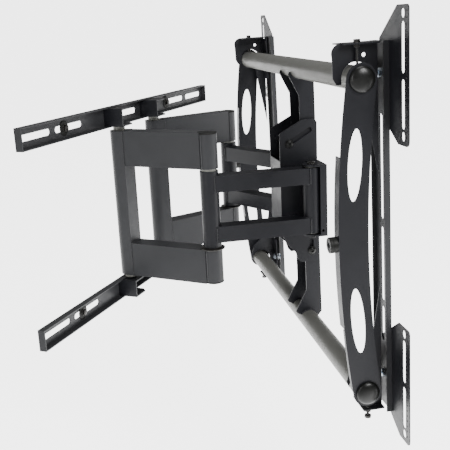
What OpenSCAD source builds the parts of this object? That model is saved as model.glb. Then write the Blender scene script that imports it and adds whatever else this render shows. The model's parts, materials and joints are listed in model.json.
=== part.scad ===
// Full motion wall mount for a large flat television.
// Two wall rails carry two folding arms, one on each side. The arms meet in a
// swivelling head, which holds a tilting mast with two cross tubes. Two rails
// hang on the tubes and take the television's screws.
// X runs along the wall, Y into the wall and Z up; the wall face is Y = 0.

/* [Wall rails] */
// Length of each wall rail
rail_len = 1115; // [1080:5:1200]
// Height of each wall rail
rail_h = 57; // [50:1:64]
// Depth of a wall rail's folded edges
rail_d = 20; // [14:1:26]
// Height between the centre lines of the two wall rails
rail_gap = 514; // [500:1:530]
// Width of the wall rail slots
slot_w = 17; // [12:1:20]
// Distance between the two lag screws of a rail
lag_gap = 610; // [590:5:620]

/* [Arms] */
// Distance of each shoulder pivot from the middle of the rails
pivot_x = 110; // [105:1:120]
// Distance of the shoulder pivots from the wall
pivot_y = 28; // [28:0.5:34]
// Shoulder to elbow length of the inner arms
inner_len = 286; // [260:1:320]
// Elbow to head length of the outer arms
outer_len = 296; // [270:1:330]
// Height of the inner arms
inner_h = 434; // [428:1:436]
// Height of an inner arm's bars
inner_bar_h = 101; // [80:1:101]
// Height of the outer arms
outer_h = 191; // [180:1:196]
// Height of an outer arm's bars
outer_bar_h = 46; // [36:1:60]

/* [Pose at rest] */
// Swing of the left inner arm out of square with the wall
left_inner_a = -4.4; // [-10:0.1:2]
// Swing of the left outer arm out of square with the wall
left_outer_a = 32.7; // [28:0.1:36]
// Swivel of the head
swivel_a = 32; // [30:0.1:34]
// Lean of the mast at rest
lean_a = 1.1; // [0.8:0.1:1.4]

/* [Head] */
// Distance between the two head pivots
head_span = 220; // [218:1:226]
// Half width of the mast
mast_half = 52; // [50:0.5:52]
// Travel of the tilt, in degrees
tilt_max = 10.5; // [8:0.5:10.5]

/* [Screen frame] */
// Outer radius of the cross tubes
tube_r = 28; // [26:0.5:28]
// Height between the two cross tubes
tube_gap = 760; // [740:5:780]
// Distance of the left tube ends from the mast
tube_left = 551; // [540:1:600]
// Distance of the right tube ends from the mast
tube_right = 621; // [600:1:660]
// Bow of the frame plates toward the wall
plate_bow = 27; // [20:1:30]
// Length of a screen rail
tv_rail_len = 912; // [900:2:930]
// Width of a screen rail
tv_rail_w = 85; // [80:1:90]
// Height of an extension plate
wing_h = 300; // [290:2:306]

/* [Hidden] */
$fn = 64;
steel_dark = [0.20, 0.20, 0.22];
steel_lit = [0.36, 0.36, 0.38];
tube_grey = [0.47, 0.47, 0.45];
black = [0.05, 0.05, 0.06];
zinc = [0.72, 0.76, 0.80];
nylon = [0.85, 0.84, 0.78];

// Thickness of the rail sheet, and of the heavier bracket plate
rail_t = 3;
plate_t = 4;
// Fit clearances: a running pin, and two faces that slide past each other
run = 0.05;
gap = 0.3;

// Slots of a wall rail, as distance from its middle and length
rail_slots = [[-478, 126], [-329, 128], [0, 86], [329, 128], [478, 126]];
lag_mid = -48;
washer_r = 20;

// Inner arm section
arm_post_r = 27;
arm_bore_r = 21;
arm_bar_w = 52;
inner_z = inner_h / 2;
bar_inner_z = inner_z - inner_bar_h;
knuckle_top = inner_z - 5;
// Outer arm section
outer_post_r = 26;
outer_bore_r = 20;
head_post_r = 25.5;
head_bore_r = 19.5;
outer_bar_w = 48;
outer_z = outer_h / 2;
elbow_z = bar_inner_z - 6.5;

// Shoulder brackets: their plates lie between the rail's folded edges
bracket_z0 = rail_gap / 2 - rail_h / 2 + rail_t;
bracket_z1 = rail_gap / 2 + rail_h / 2 - rail_t;
bracket_d = 63;
shoulder_r = 8;
elbow_pin_r = 9;
head_bolt_r = 7;

// Head
ear_z = outer_z + 4;
ear_t = 5;
web_y = 31.5;
head_out = head_span / 2 + 31;
tilt_in = mast_half + 4;
tilt_back = 78;

// Tilt: the mast turns on two low bolts and its upper bolts follow a slot
tilt_pivot = [12, -169];
tilt_bolt = [-50, 157];
tilt_bolt_r = 6;
tilt_slot_r = 7.8;
tilt_arm = norm(tilt_bolt - tilt_pivot);
tilt_start = atan2(tilt_bolt[0] - tilt_pivot[0], tilt_bolt[1] - tilt_pivot[1]);
tilt_lift = 30.7 * tilt_max / 10.5;
slot_end = [
    tilt_pivot[0] + tilt_arm * sin(tilt_start + tilt_max),
    tilt_pivot[1] + tilt_arm * cos(tilt_start + tilt_max) + tilt_lift
];

// Screen frame, seen from the left end: depth toward the screen, height
tube_u = [-2, tube_gap / 2 - 11];
tube_l = [-2, -tube_gap / 2 - 11];
mast_front = 39;
mast_t = 4;
sheet_t = 3;
plate_end_r = 36;
dome_r = 29.5;
frame_mid_z = -11;
flange_z = [-217, 198];
rail_front = 70;
rail_back = rail_front - sheet_t;
tv_rail_z0 = -465;
left_rail_x = 60 - tube_left + 3.5;
right_rail_x = tube_right - 63.5;
hook_x = -30.5;
hook_w = 61;
hook_front = 47;
hook_base_z = [[300, 440], [-440, -305]];
lid_x = -49.5;
screw_x = -39.5;
screw_y = -4;
lock_y = 6;
rail_screw_r = 3;
tv_slot_w = 18;
rail_slots_z = [[27, 285], [-183, 9], [-289, -197]];
bolt_heights = [375, -378];
wing_gap = 729;
wing_x = -116.5;
wing_top = 522;
wing_slots = [[232, 253], [258, 367], [379, 488], [494, 514]];

// ---------- plan geometry ----------
function toward(a) = [sin(a), -cos(a)];
function along(a) = [cos(a), sin(a)];
left_shoulder = [-pivot_x, -pivot_y];
right_shoulder = [pivot_x, -pivot_y];
left_elbow = left_shoulder + inner_len * toward(left_inner_a);
left_head = left_elbow + outer_len * toward(left_outer_a);
right_head = left_head + head_span * along(swivel_a);
head_mid = (left_head + right_head) / 2;
// The right arm closes the loop from its shoulder to the head
right_reach = right_head - right_shoulder;
right_base = atan2(right_reach[0], -right_reach[1]);
right_open = acos((norm(right_reach) ^ 2 + inner_len ^ 2 - outer_len ^ 2)
    / (2 * norm(right_reach) * inner_len));
right_inner_a = right_base + right_open;
right_elbow = right_shoulder + inner_len * toward(right_inner_a);
right_span = right_head - right_elbow;
right_outer_a = atan2(right_span[0], -right_span[1]);

// ---------- placing ----------
module place(at, a) {
    translate([at[0], at[1], 0])
        rotate([0, 0, a])
            children();
}
module left_inner() { place(left_shoulder, left_inner_a) children(); }
module right_inner() { place(right_shoulder, right_inner_a) children(); }
module left_outer() { place(left_elbow, left_outer_a) children(); }
module right_outer() { place(right_elbow, right_outer_a) children(); }
module head() { place(head_mid, swivel_a) children(); }
// The screen frame leans about the tilt pivot
module frame() {
    head()
        translate([0, -tilt_pivot[0], tilt_pivot[1]])
            rotate([-lean_a, 0, 0])
                translate([0, tilt_pivot[0], -tilt_pivot[1]])
                    children();
}
module both_ends() {
    children();
    mirror([0, 0, 1])
        children();
}
// Turns an outline drawn as [toward the screen, up] into a plate across X
module side_plate(x, t) {
    translate([x, 0, 0])
        rotate([90, 0, 0])
            rotate([0, -90, 0])
                translate([0, 0, -t])
                    linear_extrude(t)
                        children();
}
module pipe(r, bore, z0, z1) {
    translate([0, 0, z0])
        difference() {
            cylinder(r = r, h = z1 - z0);
            translate([0, 0, -1])
                cylinder(r = bore, h = z1 - z0 + 2);
        }
}
module hex(r, h) { cylinder(r = r, h = h, $fn = 6); }
// A slot outline between two points
module slot2d(a, b, r) {
    d = b - a;
    translate(a)
        circle(r = r);
    translate(b)
        circle(r = r);
    translate(a)
        rotate(atan2(d[1], d[0]))
            translate([0, -r])
                square([norm(d), 2 * r]);
}
// The same outline for a slot that doesn't lie square to the plate
module slant_slot2d(a, b, r) {
    w = atan2(b[1] - a[1], b[0] - a[0]);
    polygon(concat(
        [for (i = [-90:7.5:90]) b + r * [cos(w + i), sin(w + i)]],
        [for (i = [90:7.5:270]) a + r * [cos(w + i), sin(w + i)]]
    ));
}

// ---------- wall rails ----------
module wall_rail(z) {
    difference() {
        translate([-rail_len / 2, -rail_d, z - rail_h / 2])
            cube([rail_len, rail_d, rail_h]);
        translate([-rail_len / 2 + rail_t, -rail_d - 1, z - rail_h / 2 + rail_t])
            cube([rail_len - 2 * rail_t, rail_d + 1 - rail_t, rail_h - 2 * rail_t]);
        for (s = rail_slots)
            translate([s[0], 1, z])
                rotate([90, 0, 0])
                    linear_extrude(rail_t + 2)
                        slot2d([-s[1] / 2 + slot_w / 2, 0], [s[1] / 2 - slot_w / 2, 0], slot_w / 2);
        // The right-hand slot is open as far as the lag screw
        translate([lag_mid + lag_gap / 2, 1, z])
            rotate([90, 0, 0])
                linear_extrude(rail_t + 2)
                    slot2d([0, 0], [30, 0], slot_w / 2);
    }
}
module upper_wall_rail() { color(steel_lit) wall_rail(rail_gap / 2); }
module lower_wall_rail() { color(steel_lit) wall_rail(-rail_gap / 2); }

module at_each_lag() {
    for (x = [-1, 1], z = [-1, 1])
        translate([lag_mid + x * lag_gap / 2, 0, z * rail_gap / 2])
            rotate([90, 0, 0])
                children();
}
module lag_screws() {
    color(black)
        at_each_lag() {
            cylinder(r = 4.75, h = rail_t + 6);
            translate([0, 0, rail_t + 2.5])
                cylinder(r = 11, h = 2);
            translate([0, 0, rail_t + 4.5])
                hex(9, 6);
        }
}
module lag_washers() { color(black) at_each_lag() pipe(washer_r, 4.75, rail_t, rail_t + 2.5); }

// A folded channel: a side plate with a flange above and below, open outward
module pivot_bracket(x) {
    side_x = x - 38;
    difference() {
        translate([side_x, -bracket_d, bracket_z0])
            cube([68, bracket_d - rail_t, bracket_z1 - bracket_z0]);
        translate([side_x + plate_t, -bracket_d - 1, bracket_z0 + plate_t])
            cube([68, bracket_d + 2, bracket_z1 - bracket_z0 - 2 * plate_t]);
        translate([x, -pivot_y, bracket_z0 - 1])
            cylinder(r = shoulder_r + gap, h = rail_h + 2);
        // The outer corners are cut off
        for (z = [bracket_z0, bracket_z1 - plate_t])
            translate([side_x + 68, -bracket_d, z - 1])
                rotate([0, 0, 45])
                    translate([-9, -9, 0])
                        cube([18, 18, plate_t + 2]);
    }
}
module upper_pivot_brackets() {
    color(steel_dark) {
        pivot_bracket(-pivot_x);
        pivot_bracket(pivot_x);
    }
}
module lower_pivot_brackets() { color(steel_dark) mirror([0, 0, 1]) upper_pivot_brackets(); }

module shoulder_bolts() {
    color(black)
        for (x = [-pivot_x, pivot_x])
            translate([x, -pivot_y, 0])
                both_ends() {
                    translate([0, 0, inner_z - 25])
                        cylinder(r = shoulder_r, h = bracket_z1 - inner_z + 25);
                    translate([0, 0, bracket_z1 - plate_t - 12])
                        hex(13, 12);
                }
}

// ---------- inner arms ----------
// The post's front is squared so that the bars can be welded to it
module inner_post() {
    difference() {
        union() {
            translate([0, 0, -inner_z])
                cylinder(r = arm_post_r, h = inner_h);
            translate([-arm_post_r, -arm_post_r, -inner_z])
                cube([2 * arm_post_r, arm_post_r, inner_h]);
        }
        translate([0, 0, -inner_z - 1])
            cylinder(r = arm_bore_r, h = inner_h + 2);
    }
}
module inner_bar() {
    bar_end = inner_len - 12;
    difference() {
        translate([-arm_bar_w / 2, -bar_end, bar_inner_z])
            cube([arm_bar_w, bar_end - arm_post_r, inner_bar_h]);
        translate([-arm_bar_w / 2 + plate_t, -bar_end - 1, bar_inner_z + plate_t])
            cube([arm_bar_w - 2 * plate_t, bar_end - arm_post_r + 2, inner_bar_h - 2 * plate_t]);
        translate([0, -inner_len, 0])
            cylinder(r = arm_post_r, h = inner_h);
    }
}
module elbow_knuckles() {
    translate([0, -inner_len, 0])
        both_ends()
            pipe(arm_post_r, arm_bore_r, bar_inner_z, knuckle_top);
}
module elbow_caps() {
    translate([0, -inner_len, 0])
        both_ends()
            translate([0, 0, knuckle_top])
                rotate_extrude()
                    polygon([[0, -8], [arm_bore_r - 0.5, -8], [arm_bore_r - 0.5, 0], [arm_post_r, 0],
                        [arm_post_r, 2], [arm_post_r - 2, 4], [0, 5]]);
}
// A stepped stud: a plug in the knuckle and a pin down into the outer arm
module elbow_studs() {
    translate([0, -inner_len, 0])
        both_ends() {
            translate([0, 0, bar_inner_z + 4])
                cylinder(r = arm_bore_r, h = 25);
            translate([0, 0, elbow_z - 28])
                cylinder(r = elbow_pin_r, h = 40);
        }
}
// Flanged bushes; the flange is the pale ring between the arm and the bracket
module shoulder_bushes() {
    both_ends() {
        pipe(arm_bore_r, shoulder_r + run, inner_z - 24, inner_z);
        pipe(17, shoulder_r + run, inner_z, bracket_z0 - rail_t - gap);
    }
}
module left_inner_post() { color(steel_lit) left_inner() inner_post(); }
module left_inner_upper_bar() { color(steel_lit) left_inner() inner_bar(); }
module left_inner_lower_bar() { color(steel_lit) left_inner() mirror([0, 0, 1]) inner_bar(); }
module left_elbow_knuckles() { color(steel_lit) left_inner() elbow_knuckles(); }
module left_elbow_caps() { color(black) left_inner() elbow_caps(); }
module left_elbow_studs() { color(zinc) left_inner() elbow_studs(); }
module left_shoulder_bushes() { color(nylon) left_inner() shoulder_bushes(); }
module right_inner_post() { color(steel_lit) right_inner() inner_post(); }
module right_inner_upper_bar() { color(steel_lit) right_inner() inner_bar(); }
module right_inner_lower_bar() { color(steel_lit) right_inner() mirror([0, 0, 1]) inner_bar(); }
module right_elbow_knuckles() { color(steel_lit) right_inner() elbow_knuckles(); }
module right_elbow_caps() { color(black) right_inner() elbow_caps(); }
module right_elbow_studs() { color(zinc) right_inner() elbow_studs(); }
module right_shoulder_bushes() { color(nylon) right_inner() shoulder_bushes(); }

// ---------- outer arms ----------
module outer_post() { pipe(outer_post_r, outer_bore_r, -elbow_z, elbow_z); }
module head_post() {
    translate([0, -outer_len, 0])
        pipe(head_post_r, head_bore_r, -outer_z, outer_z);
}
module outer_bar() {
    near = 13;
    bar_l = outer_len - 2 * near;
    difference() {
        translate([-outer_bar_w / 2, -near - bar_l, outer_z - outer_bar_h])
            cube([outer_bar_w, bar_l, outer_bar_h]);
        translate([-outer_bar_w / 2 + 3, -near - bar_l - 1, outer_z - outer_bar_h + 3])
            cube([outer_bar_w - 6, bar_l + 2, outer_bar_h - 6]);
        cylinder(r = outer_post_r, h = outer_h);
        translate([0, -outer_len, 0])
            cylinder(r = head_post_r, h = outer_h);
    }
}
// The flared ring that carries the outer arm on the lower knuckle
module elbow_collar() {
    z0 = -bar_inner_z + gap;
    translate([0, 0, z0])
        rotate_extrude()
            polygon([[elbow_pin_r + run, 0], [34, 0], [35, 1.5], [35, 3.5],
                [outer_post_r, -elbow_z - z0], [elbow_pin_r + run, -elbow_z - z0]]);
}
module elbow_bushes() {
    both_ends()
        pipe(outer_bore_r, elbow_pin_r + run, elbow_z - 24, elbow_z);
    pipe(outer_post_r - 4, elbow_pin_r + run, elbow_z, bar_inner_z - gap);
}
module head_bushes() {
    translate([0, -outer_len, 0])
        both_ends()
            pipe(head_bore_r, head_bolt_r + run, outer_z - 22, outer_z);
}
module left_outer_post() { color(steel_dark) left_outer() outer_post(); }
module left_outer_upper_bar() { color(steel_dark) left_outer() outer_bar(); }
module left_outer_lower_bar() { color(steel_dark) left_outer() mirror([0, 0, 1]) outer_bar(); }
module left_head_post() { color(steel_dark) left_outer() head_post(); }
module left_elbow_collar() { color(black) left_outer() elbow_collar(); }
module left_outer_bushes() {
    color(nylon)
        left_outer() {
            elbow_bushes();
            head_bushes();
        }
}
module right_outer_post() { color(steel_dark) right_outer() outer_post(); }
module right_outer_upper_bar() { color(steel_dark) right_outer() outer_bar(); }
module right_outer_lower_bar() { color(steel_dark) right_outer() mirror([0, 0, 1]) outer_bar(); }
module right_head_post() { color(steel_dark) right_outer() head_post(); }
module right_elbow_collar() { color(black) right_outer() elbow_collar(); }
module right_outer_bushes() { color(nylon) right_outer() elbow_bushes(); }

// ---------- swivelling head ----------
module head_bracket(fold_d) {
    x0 = tilt_in + plate_t;
    difference() {
        union() {
            translate([x0, -web_y - ear_t, -ear_z - ear_t])
                cube([head_out - x0, ear_t, 2 * (ear_z + ear_t)]);
            both_ends()
                translate([0, 0, ear_z]) {
                    translate([x0, -web_y, 0])
                        cube([head_out - x0, web_y, ear_t]);
                    translate([head_span / 2, 0, 0])
                        cylinder(r = head_post_r + 1, h = ear_t);
                }
            // The outer edge is folded back along the post
            translate([head_out - 3, -web_y, -ear_z])
                cube([3, fold_d, 2 * ear_z]);
        }
        both_ends()
            translate([head_span / 2, 0, ear_z - 1])
                cylinder(r = head_bolt_r, h = ear_t + 2);
        if (fold_d > 12)
            translate([head_out - 4, -web_y + 8, -ear_z + 12])
                rotate([0, 90, 0])
                    cylinder(r = 4, h = 5);
    }
}
module left_head_bracket() { color(steel_dark) head() mirror([1, 0, 0]) head_bracket(15); }
// The right arm swings further round, so this bracket has a narrower fold
module right_head_bracket() { color(steel_dark) head() head_bracket(6); }

module tilt_outline() {
    polygon([[-tilt_back, 188], [-11, 224], [26, 225], [33.5, 215], [33.5, -195], [26, -203],
        [-22, -203], [-30, -194], [-38, -170], [-51, -157], [-tilt_back, -116]]);
}
module tilt_plate() {
    difference() {
        side_plate(tilt_in, plate_t)
            tilt_outline();
        side_plate(tilt_in - 1, plate_t + 2) {
            slant_slot2d(tilt_bolt + [-0.3, 0.5], slot_end + [0.2, 0.5], tilt_slot_r);
            slant_slot2d(tilt_pivot, tilt_pivot + [0, tilt_lift], tilt_bolt_r + gap);
        }
    }
}
module left_tilt_plate() { color(steel_dark) head() mirror([1, 0, 0]) tilt_plate(); }
module right_tilt_plate() { color(steel_dark) head() tilt_plate(); }
// Joins the two tilt plates behind the mast
module tilt_back_plate() {
    color(steel_dark)
        head()
            translate([-tilt_in, tilt_back - plate_t, -85])
                cube([2 * tilt_in, plate_t, 192]);
}
module head_bolts() {
    color(black)
        head()
            for (x = [-1, 1])
                translate([x * head_span / 2, 0, 0])
                    both_ends() {
                        translate([0, 0, outer_z - 24])
                            cylinder(r = head_bolt_r, h = ear_z + ear_t - outer_z + 24);
                        translate([0, 0, ear_z + ear_t])
                            hex(11, 7);
                    }
}
module head_washers() {
    color(nylon)
        head()
            for (x = [-1, 1])
                translate([x * head_span / 2, 0, 0])
                    both_ends()
                        pipe(18, head_bolt_r, outer_z + gap, ear_z);
}
module cross_bolt(r, head_r, head_h, x0, x1) {
    rotate([0, 90, 0]) {
        translate([0, 0, x0])
            cylinder(r = r, h = x1 - x0);
        translate([0, 0, x1])
            cylinder(r = head_r, h = head_h);
    }
}
module tilt_pivot_bolts() {
    color(black)
        head()
            translate([0, -tilt_pivot[0], tilt_pivot[1]])
                for (m = [0, 1])
                    mirror([m, 0, 0])
                        cross_bolt(tilt_bolt_r, 13, 7, mast_half - mast_t - 6, tilt_in + plate_t + gap);
}

// ---------- tilting screen frame ----------
module mast_outline() {
    difference() {
        polygon([[mast_front, tube_u[1] - 3], [tube_u[0] + 10, tube_u[1] - 3], [-33, 360],
            [-35, 352], [-6.5, 292], [-6.5, -297], [-42, -362], [-38, -368],
            [tube_l[0], tube_l[1] + 3], [24, tube_l[1] + 3], [mast_front, tube_l[1] + 21]]);
        translate(tube_u)
            circle(r = tube_r);
        translate(tube_l)
            circle(r = tube_r);
    }
}
module mast() {
    color(steel_dark)
        frame() {
            difference() {
                for (m = [0, 1])
                    mirror([m, 0, 0])
                        side_plate(mast_half - mast_t, mast_t)
                            mast_outline();
                translate([-mast_half - 1, -tilt_pivot[0], tilt_pivot[1]])
                    rotate([0, 90, 0])
                        cylinder(r = tilt_bolt_r + run, h = 2 * mast_half + 2);
            }
            translate([-mast_half + mast_t, -mast_front, tube_l[1] + 21])
                cube([2 * (mast_half - mast_t), mast_t, tube_gap - 24]);
            // Tabs behind the mast carry the upper tilt bolts
            tab = lean_point(tilt_bolt);
            for (m = [0, 1])
                mirror([m, 0, 0])
                    side_plate(mast_half - mast_t, mast_t)
                        difference() {
                            hull_tab(tab);
                            translate(tab)
                                circle(r = tilt_bolt_r);
                        }
        }
}
// Where a point of the head lies in the frame's own upright pose
function lean_point(p) = tilt_pivot + [
    (p[0] - tilt_pivot[0]) * cos(lean_a) + (p[1] - tilt_pivot[1]) * sin(lean_a),
    (p[1] - tilt_pivot[1]) * cos(lean_a) - (p[0] - tilt_pivot[0]) * sin(lean_a)
];
module hull_tab(p) {
    translate(p)
        circle(r = 13);
    polygon([p + [0, 13], p + [0, -13], [-6.5, p[1] - 40], [-6.5, p[1] + 30]]);
}
module cross_tube(at) {
    color(tube_grey)
        frame()
            translate([-tube_left, -at[0], at[1]])
                rotate([0, 90, 0])
                    pipe(tube_r, tube_r - 3, 0, tube_left + tube_right);
}
module upper_cross_tube() { cross_tube(tube_u); }
module lower_cross_tube() { cross_tube(tube_l); }

// Bowed band between two tube centres, as wide as its round ends
bow_r = ((tube_gap / 2) ^ 2 + plate_bow ^ 2) / (2 * plate_bow);
bow_c = [tube_u[0] + bow_r - plate_bow, frame_mid_z];
module bow_band(inner, outer, z0, z1) {
    intersection() {
        translate([bow_c[0] - bow_r - 60, z0])
            square([160, z1 - z0]);
        difference() {
            translate(bow_c)
                circle(r = bow_r + outer, $fn = 720);
            translate(bow_c)
                circle(r = bow_r + inner, $fn = 720);
        }
    }
}
module oval(c, rx, rz, a) {
    translate(c)
        rotate(a)
            polygon([for (i = [0:10:350]) [rx * cos(i), rz * sin(i)]]);
}
module frame_plate() {
    window_z = 189;
    window_x = tube_u[0] - plate_bow + plate_bow * (2 * window_z / tube_gap) ^ 2;
    lean = 4;
    side_plate(0, sheet_t)
        difference() {
            union() {
                bow_band(-plate_end_r, plate_end_r, tube_l[1], tube_u[1]);
                translate(tube_u)
                    circle(r = plate_end_r);
                translate(tube_l)
                    circle(r = plate_end_r);
            }
            translate(tube_u)
                circle(r = tube_r);
            translate(tube_l)
                circle(r = tube_r);
            oval([window_x, frame_mid_z + window_z], 17, 84, -lean);
            oval([window_x, frame_mid_z - window_z], 17, 84, lean);
        }
    // The back edge is folded in behind the screen
    side_plate(sheet_t, 30)
        bow_band(plate_end_r - sheet_t, plate_end_r, flange_z[0], flange_z[1]);
    side_plate(sheet_t, 10)
        bow_band(plate_end_r - sheet_t, plate_end_r, -385, flange_z[0] - 4);
    knob_x = tube_u[0] - plate_bow - plate_end_r;
    translate([18, -knob_x - 1, frame_mid_z + 3])
        rotate([-90, 0, 0])
            difference() {
                union() {
                    cylinder(r = 18.5, h = 20);
                    cylinder(r = 10, h = 4);
                }
                translate([0, 0, 12])
                    hex(8, 9);
            }
}
module left_frame_plate() {
    color(steel_dark)
        frame()
            translate([-tube_left, 0, 0])
                frame_plate();
}
module right_frame_plate() {
    color(steel_dark)
        frame()
            translate([tube_right, 0, 0])
                mirror([1, 0, 0])
                    frame_plate();
}
module end_cap() {
    rotate([0, -90, 0])
        rotate_extrude()
            polygon(concat([[0, -12], [tube_r - 3.2, -12], [tube_r - 3.2, 0], [dome_r, 0], [dome_r, 3]],
                [for (i = [1:8]) [dome_r * cos(i * 11.25), 3 + 12 * sin(i * 11.25)]]));
}
module tube_end_caps() {
    color(black)
        frame()
            for (at = [tube_u, tube_l]) {
                translate([-tube_left, -at[0], at[1]])
                    end_cap();
                translate([tube_right, -at[0], at[1]])
                    mirror([1, 0, 0])
                        end_cap();
            }
}
module tilt_lock_bolts() {
    color(black)
        head()
            translate([0, -tilt_bolt[0], tilt_bolt[1]])
                for (m = [0, 1])
                    mirror([m, 0, 0])
                        cross_bolt(tilt_bolt_r, 12, 6, mast_half - mast_t - 6, tilt_in + plate_t + gap);
}

// ---------- screen rails ----------
// Drawn about the rail's middle, with the outer side toward -X
module on_left_rail() {
    frame()
        translate([left_rail_x, 0, 0])
            children();
}
module on_right_rail() {
    frame()
        translate([right_rail_x, 0, 0])
            mirror([1, 0, 0])
                children();
}
module screen_rail() {
    difference() {
        union() {
            translate([-tv_rail_w / 2, -rail_front, tv_rail_z0])
                cube([tv_rail_w, sheet_t, tv_rail_len]);
            for (x = [-tv_rail_w / 2, tv_rail_w / 2 - sheet_t])
                translate([x, -rail_back - 1, tv_rail_z0])
                    cube([sheet_t, 12, tv_rail_len]);
        }
        for (s = rail_slots_z)
            translate([4, 0, 0])
                front_slot(s[0], s[1], tv_slot_w);
        for (z = bolt_heights)
            translate([4, -rail_front - 1, z])
                rotate([-90, 0, 0])
                    cylinder(r = 4, h = sheet_t + 2);
    }
}
module front_slot(z0, z1, w) {
    translate([0, -rail_back + 4, 0])
        rotate([90, 0, 0])
            linear_extrude(12)
                slot2d([0, z0 + w / 2], [0, z1 - w / 2], w / 2);
}
module hook_cut(at) {
    translate(at)
        circle(r = tube_r + 6);
}
module upper_hook_outline() {
    difference() {
        union() {
            polygon([[hook_front, 447], [-38, 447], [-59, 424], [-58, 372], [-50, 357], [-30, 357],
                [-30, 338], [12, 338], [hook_front, 142]]);
            translate([-38, 425])
                circle(r = 22);
        }
        hook_cut(tube_u + [-2, 3]);
        // The mouth that drops over the tube
        translate([-38, 320])
            square([50, 52]);
        translate([15, 420])
            circle(r = 4.8);
    }
}
module lower_hook_outline() {
    difference() {
        polygon([[hook_front, -130], [20, -290], [-30, -332], [-44, -372], [-38, -388],
            [-4, -388], [18, -410], [18, -446], [hook_front, -446]]);
        hook_cut(tube_l + [-2, 3]);
    }
}
// A hook plate at each end of the rail, with a folded base and a lid for its screw
module rail_hooks() {
    side_plate(hook_x, sheet_t) {
        upper_hook_outline();
        lower_hook_outline();
    }
    difference() {
        union() {
            for (z = hook_base_z)
                translate([hook_x + sheet_t, -hook_front, z[0]])
                    cube([hook_w - 2 * sheet_t, sheet_t, z[1] - z[0]]);
            translate([lid_x, -hook_front, 444])
                cube([hook_x + hook_w - lid_x - sheet_t, hook_front + 38, sheet_t]);
            translate([lid_x, -hook_front, -449])
                cube([hook_x + hook_w - lid_x - sheet_t, hook_front + 8, sheet_t]);
        }
        for (z = bolt_heights)
            translate([4, -hook_front - 1, z])
                rotate([-90, 0, 0])
                    cylinder(r = 4, h = sheet_t + 2);
        translate([screw_x, -screw_y, 440])
            cylinder(r = rail_screw_r + run, h = 10);
        translate([screw_x, -lock_y, -460])
            cylinder(r = rail_screw_r, h = 20);
    }
}
module wing_outline() {
    top = wing_top;
    low = wing_top - wing_h;
    polygon([[17, 452], [-86, top], [-138, top], [-144, top - 1.5], [-148, top - 7],
        [-148, low + 14], [-147, low + 9], [-144.5, low + 4.5], [-140, low + 1.5],
        [-134, low], [-88, low], [-34, low + 32], [17, low + 62]]);
}
module wing() {
    difference() {
        translate([0, -rail_front, 0])
            rotate([90, 0, 0])
                linear_extrude(sheet_t - 1)
                    wing_outline();
        translate([wing_x, 0, 0])
            for (s = wing_slots)
                front_slot(s[0], s[1], slot_w);
        for (i = [0:19])
            translate([-134, -rail_front + 1, 244 + i * 14])
                rotate([90, 0, 0])
                    cylinder(r = 2.3, h = 6);
    }
}
module extension_plates() {
    difference() {
        union() {
            wing();
            translate([0, 0, -wing_gap])
                wing();
        }
        for (z = bolt_heights)
            translate([4, -rail_front + 1, z])
                rotate([90, 0, 0])
                    cylinder(r = 4, h = 6);
    }
}
module rail_bolt() {
    rotate([-90, 0, 0]) {
        cylinder(r = 4, h = rail_front - 36);
        translate([0, 0, -3])
            cylinder(r = 8, h = 3);
        // Nuts on the rail and on both faces of the hook's base
        for (h = [5, rail_front - 51, rail_front - 42])
            translate([0, 0, h])
                hex(9.8, 6);
    }
}
module rail_bolts() {
    for (z = bolt_heights)
        translate([4, -rail_front - sheet_t + 1, z])
            rail_bolt();
}
// The lock screw reaches up under the lower tube
module lock_screw() {
    translate([screw_x, -lock_y, -472]) {
        hex(8, 7);
        cylinder(r = rail_screw_r, h = 472 + tube_l[1] - tube_r - gap);
    }
}
module levelling_screw() {
    translate([screw_x, -screw_y, 0]) {
        translate([0, 0, tube_u[1] + tube_r + gap])
            cylinder(r = rail_screw_r, h = 450 - tube_u[1] - tube_r - gap);
        translate([0, 0, 447 + gap])
            cylinder(r = 7.5, h = 8);
    }
}
module left_screen_rail() { color(steel_lit) on_left_rail() screen_rail(); }
module left_rail_hooks() { color(steel_dark) on_left_rail() rail_hooks(); }
module left_extension_plates() { color(steel_lit) on_left_rail() extension_plates(); }
module left_rail_bolts() { color(zinc) on_left_rail() rail_bolts(); }
module right_screen_rail() { color(steel_lit) on_right_rail() screen_rail(); }
module right_rail_hooks() { color(steel_dark) on_right_rail() rail_hooks(); }
module right_extension_plates() { color(steel_lit) on_right_rail() extension_plates(); }
module right_rail_bolts() { color(zinc) on_right_rail() rail_bolts(); }
module left_lock_screw() { color(black) on_left_rail() lock_screw(); }
module right_lock_screw() { color(black) on_right_rail() lock_screw(); }
module left_levelling_screw() { color(black) on_left_rail() levelling_screw(); }
module right_levelling_screw() { color(black) on_right_rail() levelling_screw(); }

upper_wall_rail();
lower_wall_rail();
lag_screws();
lag_washers();
upper_pivot_brackets();
lower_pivot_brackets();
shoulder_bolts();
left_inner_post();
left_inner_upper_bar();
left_inner_lower_bar();
left_elbow_knuckles();
left_elbow_caps();
left_elbow_studs();
left_shoulder_bushes();
right_inner_post();
right_inner_upper_bar();
right_inner_lower_bar();
right_elbow_knuckles();
right_elbow_caps();
right_elbow_studs();
right_shoulder_bushes();
left_outer_post();
left_outer_upper_bar();
left_outer_lower_bar();
left_head_post();
left_elbow_collar();
left_outer_bushes();
right_outer_post();
right_outer_upper_bar();
right_outer_lower_bar();
right_head_post();
right_elbow_collar();
right_outer_bushes();
left_head_bracket();
right_head_bracket();
left_tilt_plate();
right_tilt_plate();
tilt_back_plate();
head_bolts();
head_washers();
tilt_pivot_bolts();
mast();
upper_cross_tube();
lower_cross_tube();
left_frame_plate();
right_frame_plate();
tube_end_caps();
tilt_lock_bolts();
left_screen_rail();
left_rail_hooks();
left_extension_plates();
left_rail_bolts();
right_screen_rail();
right_rail_hooks();
right_extension_plates();
right_rail_bolts();
left_lock_screw();
right_lock_screw();
left_levelling_screw();
right_levelling_screw();
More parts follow.
